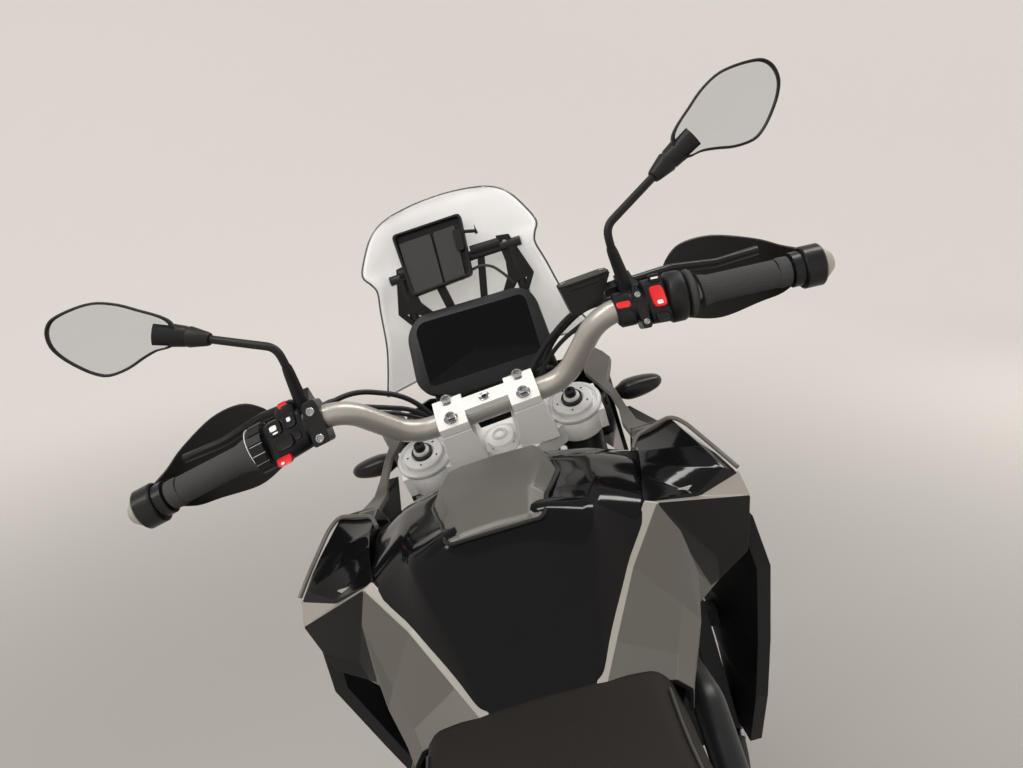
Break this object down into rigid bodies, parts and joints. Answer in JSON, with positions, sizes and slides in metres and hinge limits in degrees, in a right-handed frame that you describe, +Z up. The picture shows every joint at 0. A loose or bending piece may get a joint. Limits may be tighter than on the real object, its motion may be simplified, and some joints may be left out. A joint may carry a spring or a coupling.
{
  "type": "adventure motorcycle",
  "caption": "Upright touring and off-road motorcycle leaning on its side stand, with wire wheels, wide bars, handguards, windscreen, panelled tank, luggage rack and high exhaust.",
  "frame": {"origin": "on the floor, below the middle of the box round the machine as it leans on its side stand with the handlebar turned slightly left", "axes": "+X forwards, +Y to the rider's left, +Z up"},
  "size_m": [2.2915, 0.9096, 1.4426],
  "materials": {
    "bar_aluminium": "satin anodised",
    "caliper_black": "satin black",
    "cast_aluminium": "satin cast, fine grain",
    "chain_steel": "oiled steel links",
    "control_plastic": "fine-grained black",
    "cover_silver": "satin warm grey",
    "disc_steel": "ground steel",
    "engine_alloy": "dark grey coated casting",
    "exhaust_steel": "brushed stainless",
    "fork_chrome": "polished",
    "fork_tube_anodised": "satin grey anodised",
    "frame_paint": "satin black",
    "grip_rubber": "ribbed black",
    "lamp_clear": "clear lens",
    "lamp_red": "clear red",
    "mirror_black": "satin black",
    "rim_black": "satin black",
    "screen_clear": "clear, slightly smoked",
    "seat_cover": "grained dark brown",
    "tank_black": "deep gloss black",
    "trim_brown": "satin grey-brown",
    "tyre_rubber": "matt black rubber with a block tread"
  },
  "bodies": {
    "chassis": {"frame": "frame_paint", "swingarm": "cast_aluminium", "swingarm_shafts": "cast_aluminium", "rear_subframe": "frame_paint", "engine": "engine_alloy", "exhaust": "exhaust_steel", "silencer": "exhaust_steel", "radiator": "engine_alloy", "skid_plate": "cast_aluminium", "shock": "frame_paint", "drive_chain": "chain_steel", "rear_caliper": "caliper_black", "foot_controls": "cast_aluminium", "fuel_tank": "tank_black", "tank_cover": "cover_silver", "side_panels": "cover_silver", "tank_wings": "tank_black", "radiator_shrouds": "control_plastic", "rider_seat": "seat_cover", "passenger_seat": "seat_cover", "tail_section": "control_plastic", "luggage_rack": "frame_paint", "tail_lamp": "lamp_red", "plate_holder": "control_plastic", "cockpit_frame": "control_plastic", "display": "control_plastic", "device_cradle": "control_plastic", "windscreen": "screen_clear", "headlamp": "lamp_clear", "front_cowl": "tank_black", "cockpit_trim": "trim_brown", "turn_signals": "control_plastic"},
    "steering": {"bottom_yoke": "cast_aluminium", "top_yoke": "cast_aluminium", "bar_clamp": "cast_aluminium", "handlebar": "bar_aluminium", "grips": "grip_rubber", "bar_weights": "mirror_black", "switchgear": "control_plastic", "hand_levers": "control_plastic", "handguards": "control_plastic", "mirrors": "mirror_black", "fork_tubes": "fork_tube_anodised", "fork_legs": "fork_chrome", "front_axle": "cast_aluminium", "front_calipers": "caliper_black", "front_mudguard": "control_plastic", "control_cables": "grip_rubber"},
    "front_wheel": {"front_tyre": "tyre_rubber", "front_wheel": "rim_black", "front_discs": "disc_steel"},
    "rear_wheel": {"rear_tyre": "tyre_rubber", "rear_wheel": "rim_black", "rear_disc": "disc_steel", "rear_sprocket": "disc_steel"},
    "side_stand": {"side_stand": "frame_paint"}
  },
  "joints": [
    {"name": "steering", "type": "hinge", "parent": "chassis", "child": "steering", "pos_m": [0.37489, -0.03001, 1.01598], "axis": [-0.4695, 0.1685, 0.8667], "range_deg": [-42.1, 33.9]},
    {"name": "front_wheel_spin", "type": "hinge", "parent": "steering", "child": "front_wheel", "pos_m": [0.79939, -0.15776, 0.33942], "axis": [-0.0631, 0.9727, -0.2233], "continuous": true},
    {"name": "rear_wheel_spin", "type": "hinge", "parent": "chassis", "child": "rear_wheel", "pos_m": [-0.79379, -0.16594, 0.31672], "axis": [0, 0.9816, -0.1908], "continuous": true},
    {"name": "side_stand_fold", "type": "hinge", "parent": "chassis", "child": "side_stand", "pos_m": [-0.20779, -0.00256, 0.25578], "axis": [0.2105, 0.9039, 0.3723], "range_deg": [0, 101.2]}
  ]
}
